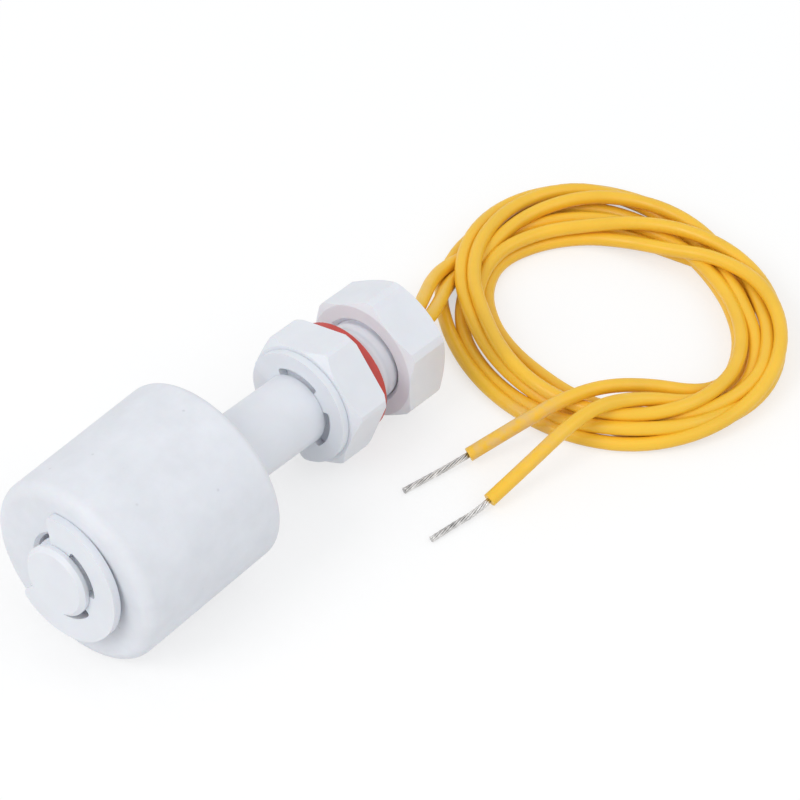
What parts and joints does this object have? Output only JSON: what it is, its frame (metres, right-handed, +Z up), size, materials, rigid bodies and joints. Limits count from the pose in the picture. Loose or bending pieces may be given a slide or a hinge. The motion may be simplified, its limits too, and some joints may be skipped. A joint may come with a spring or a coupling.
{
  "type": "float level switch",
  "caption": "Small white plastic float switch: hex-flanged stem with threaded shank, sliding float between two clips, red gasket, lock nut and a loose coil of yellow wires.",
  "frame": {"origin": "on the table, under the middle of the rigid parts' bounding box, without the free wires", "axes": "+Z up, +X along the stem towards the threaded shank and the wires, which slopes down by 4.7 degrees as the switch lies on its float and on one corner of its nut, +Y to the left of +X"},
  "size_m": [0.1012, 0.0483, 0.0233],
  "materials": {
    "white_pp": "moulded polypropylene, satin",
    "foamed_pp": "foamed polypropylene, matt and faintly mottled",
    "ferrite": "sintered ferrite, unpainted",
    "red_silicone": "silicone rubber, matt",
    "reed_glass": "clear greenish glass",
    "reed_alloy": "nickel-iron, bright",
    "solder": "tin solder, bright",
    "black_sleeve": "shrunk tubing, matt",
    "clear_epoxy": "potting resin, glossy",
    "yellow_pvc": "extruded insulation, semi-gloss",
    "tinned_copper": "tinned strands, dull"
  },
  "bodies": {
    "switch": {"housing": "white_pp", "lower_clip": "white_pp", "upper_clip": "white_pp", "gasket": "red_silicone", "reed_glass": "reed_glass", "reed_blade_upper": "reed_alloy", "reed_blade_lower": "reed_alloy", "solder_upper": "solder", "solder_lower": "solder", "sleeve_upper": "black_sleeve", "sleeve_lower": "black_sleeve", "wire_1_inner": "yellow_pvc", "wire_2_inner": "yellow_pvc", "core_1_inner": "tinned_copper", "core_2_inner": "tinned_copper", "potting": "clear_epoxy", "wire_1_lead": "yellow_pvc", "wire_2_lead": "yellow_pvc", "wire_coil": "yellow_pvc", "wire_1_end": "yellow_pvc", "wire_2_end": "yellow_pvc", "wire_1_tip": "tinned_copper", "wire_2_tip": "tinned_copper"},
    "float": {"float_body": "foamed_pp", "ring_magnet": "ferrite"},
    "nut": {"lock_nut": "white_pp"}
  },
  "joints": [
    {"name": "float_slide", "type": "slide", "parent": "switch", "child": "float", "axis": [0.9966, 0, -0.0823], "range_m": [0, 0.0147]},
    {"name": "nut_run", "type": "slide", "parent": "switch", "child": "nut", "axis": [0.9966, 0, -0.0823], "range_m": [-0.00365, 0.004]}
  ]
}
